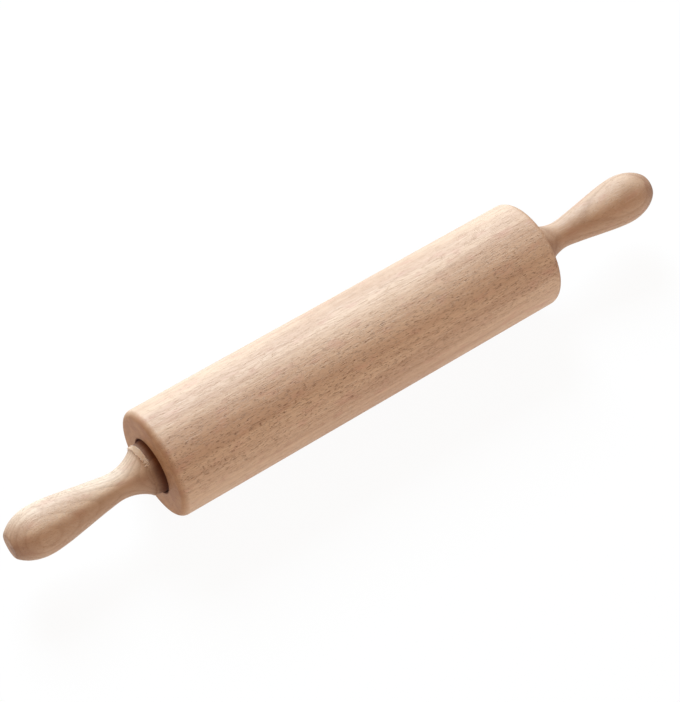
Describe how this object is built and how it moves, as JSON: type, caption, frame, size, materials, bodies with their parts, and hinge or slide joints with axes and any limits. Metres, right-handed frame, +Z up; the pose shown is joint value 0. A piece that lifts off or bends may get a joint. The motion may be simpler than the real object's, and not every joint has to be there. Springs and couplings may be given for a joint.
{
  "type": "rolling pin",
  "caption": "Beech rolling pin: a straight barrel with rounded, recessed ends that turns on ball bearings between turned handles.",
  "frame": {"origin": "middle of the barrel, on the axle's centre line", "axes": "+X along the axle towards the right handle, +Z up, the barrel lying on its side"},
  "size_m": [0.404, 0.06, 0.06],
  "materials": {
    "beech_barrel": "raw turned beech, matt",
    "beech_handle": "raw turned beech, matt",
    "bright_steel": "bright drawn",
    "aluminium_tube": "drawn tube",
    "brass_insert": "turned",
    "bearing_steel": "ground",
    "polished_balls": "polished",
    "moulded_nylon": "moulded",
    "shield_steel": "pressed",
    "zinc_plated_cup": "pressed and zinc plated"
  },
  "bodies": {
    "handles_and_axle": {"left_handle": "beech_handle", "right_handle": "beech_handle", "axle": "bright_steel", "spacer_tube": "aluminium_tube", "left_handle_insert": "brass_insert", "left_thrust_washer": "bright_steel", "left_inner_race": "bearing_steel", "right_handle_insert": "brass_insert", "right_thrust_washer": "bright_steel", "right_inner_race": "bearing_steel"},
    "barrel": {"barrel": "beech_barrel", "left_bearing_cup": "zinc_plated_cup", "left_outer_race": "bearing_steel", "left_outer_shield": "shield_steel", "left_inner_shield": "shield_steel", "right_bearing_cup": "zinc_plated_cup", "right_outer_race": "bearing_steel", "right_outer_shield": "shield_steel", "right_inner_shield": "shield_steel"},
    "left_ball_set": {"left_balls": "polished_balls", "left_ball_cage": "moulded_nylon"},
    "right_ball_set": {"right_balls": "polished_balls", "right_ball_cage": "moulded_nylon"}
  },
  "joints": [
    {"name": "barrel_spin", "type": "hinge", "parent": "handles_and_axle", "child": "barrel", "pos_m": [0, 0, 0], "axis": [1, 0, 0], "continuous": true},
    {"name": "left_ball_roll", "type": "hinge", "parent": "handles_and_axle", "child": "left_ball_set", "pos_m": [0, 0, 0], "axis": [1, 0, 0], "continuous": true},
    {"name": "right_ball_roll", "type": "hinge", "parent": "handles_and_axle", "child": "right_ball_set", "pos_m": [0, 0, 0], "axis": [1, 0, 0], "continuous": true}
  ],
  "couplings": [
    {"joint": "left_ball_roll", "follows": "barrel_spin", "ratio": 0.63227},
    {"joint": "right_ball_roll", "follows": "barrel_spin", "ratio": 0.63227}
  ]
}
